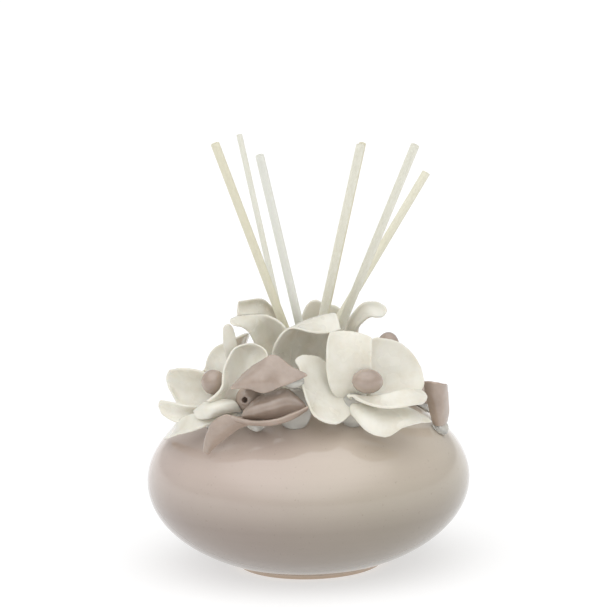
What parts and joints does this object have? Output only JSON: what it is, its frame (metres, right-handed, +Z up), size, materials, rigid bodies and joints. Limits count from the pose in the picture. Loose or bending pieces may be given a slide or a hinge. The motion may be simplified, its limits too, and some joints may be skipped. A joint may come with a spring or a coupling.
{
  "type": "reed diffuser",
  "caption": "Squat glazed ceramic vessel on a foot ring, with fibrous reeds that draw scented oil up through its mouth and hand-formed porcelain flowers around it.",
  "frame": {"origin": "centre of the foot ring, on the table", "axes": "+Z up through the mouth, -Y towards the flowered front, +X to the right as seen from the front"},
  "size_m": [0.132, 0.132, 0.177],
  "materials": {
    "vessel_glaze": "gloss",
    "white_porcelain": "gloss",
    "taupe_porcelain": "gloss",
    "reed": "matte",
    "glue": "gloss",
    "oil": "gloss"
  },
  "bodies": {
    "diffuser": {"back_left_white_bud": "taupe_porcelain", "back_left_white_petal_1": "white_porcelain", "back_left_white_petal_2": "white_porcelain", "back_left_white_petal_3": "white_porcelain", "back_left_white_petal_4": "white_porcelain", "back_right_white_bud": "taupe_porcelain", "back_right_white_petal_1": "white_porcelain", "back_right_white_petal_2": "white_porcelain", "back_right_white_petal_3": "white_porcelain", "back_right_white_petal_4": "white_porcelain", "back_taupe_petal_1": "taupe_porcelain", "back_taupe_petal_2": "taupe_porcelain", "back_white_bud": "taupe_porcelain", "back_white_petal_1": "white_porcelain", "back_white_petal_2": "white_porcelain", "back_white_petal_3": "white_porcelain", "back_white_petal_4": "white_porcelain", "back_white_petal_5": "white_porcelain", "centre_white_petal_1": "white_porcelain", "centre_white_petal_2": "white_porcelain", "centre_white_petal_3": "white_porcelain", "clear_glue": "glue", "fragrance_oil": "oil", "front_taupe_bud": "taupe_porcelain", "front_taupe_petal_1": "taupe_porcelain", "front_taupe_petal_2": "taupe_porcelain", "front_taupe_petal_3": "taupe_porcelain", "front_taupe_petal_4": "taupe_porcelain", "front_taupe_petal_5": "taupe_porcelain", "left_white_bud": "taupe_porcelain", "left_white_petal_1": "white_porcelain", "left_white_petal_2": "white_porcelain", "left_white_petal_3": "white_porcelain", "left_white_petal_4": "white_porcelain", "left_white_petal_5": "white_porcelain", "left_white_petal_6": "white_porcelain", "right_taupe_bud": "taupe_porcelain", "right_taupe_petal_1": "taupe_porcelain", "right_taupe_petal_2": "taupe_porcelain", "right_taupe_petal_3": "taupe_porcelain", "right_white_bud": "taupe_porcelain", "right_white_petal_1": "white_porcelain", "right_white_petal_2": "white_porcelain", "right_white_petal_3": "white_porcelain", "right_white_petal_4": "white_porcelain", "right_white_petal_5": "white_porcelain", "vessel": "vessel_glaze"},
    "reed_front_left": {"reed_front_left": "reed"},
    "reed_back_left": {"reed_back_left": "reed"},
    "reed_front_middle": {"reed_front_middle": "reed"},
    "reed_right_inner": {"reed_right_inner": "reed"},
    "reed_right_outer": {"reed_right_outer": "reed"},
    "reed_back_right": {"reed_back_right": "reed"},
    "reed_right_slim": {"reed_right_slim": "reed"}
  },
  "joints": [
    {"name": "reed_front_left_lift", "type": "slide", "parent": "diffuser", "child": "reed_front_left", "axis": [-0.3075, -0.2095, 0.9282], "range_m": [0, 0.13]},
    {"name": "reed_back_left_lift", "type": "slide", "parent": "diffuser", "child": "reed_back_left", "axis": [-0.1959, 0.2963, 0.9348], "range_m": [0, 0.13]},
    {"name": "reed_front_middle_lift", "type": "slide", "parent": "diffuser", "child": "reed_front_middle", "axis": [-0.1796, -0.3314, 0.9262], "range_m": [0, 0.13]},
    {"name": "reed_right_inner_lift", "type": "slide", "parent": "diffuser", "child": "reed_right_inner", "axis": [0.2191, -0.225, 0.9494], "range_m": [0, 0.13]},
    {"name": "reed_right_outer_lift", "type": "slide", "parent": "diffuser", "child": "reed_right_outer", "axis": [0.3632, -0.2536, 0.8965], "range_m": [0, 0.13]},
    {"name": "reed_back_right_lift", "type": "slide", "parent": "diffuser", "child": "reed_back_right", "axis": [0.5303, 0.2655, 0.8052], "range_m": [0, 0.13]},
    {"name": "reed_right_slim_lift", "type": "slide", "parent": "diffuser", "child": "reed_right_slim", "axis": [0.2151, -0.2261, 0.9501], "range_m": [0, 0.13]}
  ]
}
